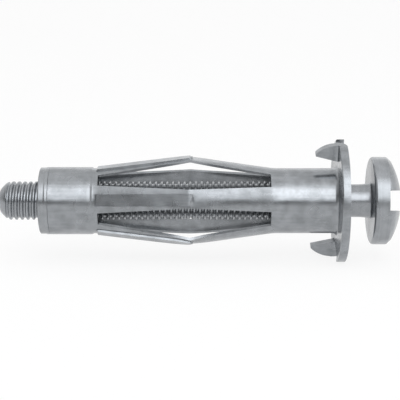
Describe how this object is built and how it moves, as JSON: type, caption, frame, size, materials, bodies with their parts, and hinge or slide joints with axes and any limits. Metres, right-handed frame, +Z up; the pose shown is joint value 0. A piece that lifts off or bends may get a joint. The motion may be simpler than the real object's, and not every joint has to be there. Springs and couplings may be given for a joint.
{
  "type": "hollow wall anchor",
  "caption": "Hollow wall anchor: a slotted sheet sleeve with spurred flange and crimped nut, and a pan-head screw that draws the nut up so the legs spread behind a board.",
  "frame": {"origin": "on the anchor's axis, in the plane of the back of the flange, which is the face of the board it is set in", "axes": "+X along the axis towards the screw head, +Z up, with the anchor lying on its side; the viewed side faces -Y"},
  "size_m": [0.0517, 0.0158, 0.0156],
  "materials": {
    "sleeve_zinc": "bright zinc plating on pressed sheet steel",
    "nut_zinc": "bright zinc plating on turned steel",
    "screw_zinc": "bright zinc plating on rolled steel"
  },
  "bodies": {
    "anchor": {"sleeve": "sleeve_zinc", "nut": "nut_zinc"},
    "screw": {"screw": "screw_zinc"}
  },
  "joints": [
    {"name": "screw_turn", "type": "hinge", "parent": "anchor", "child": "screw", "pos_m": [0, 0, 0], "axis": [1, 0, 0], "continuous": true}
  ]
}
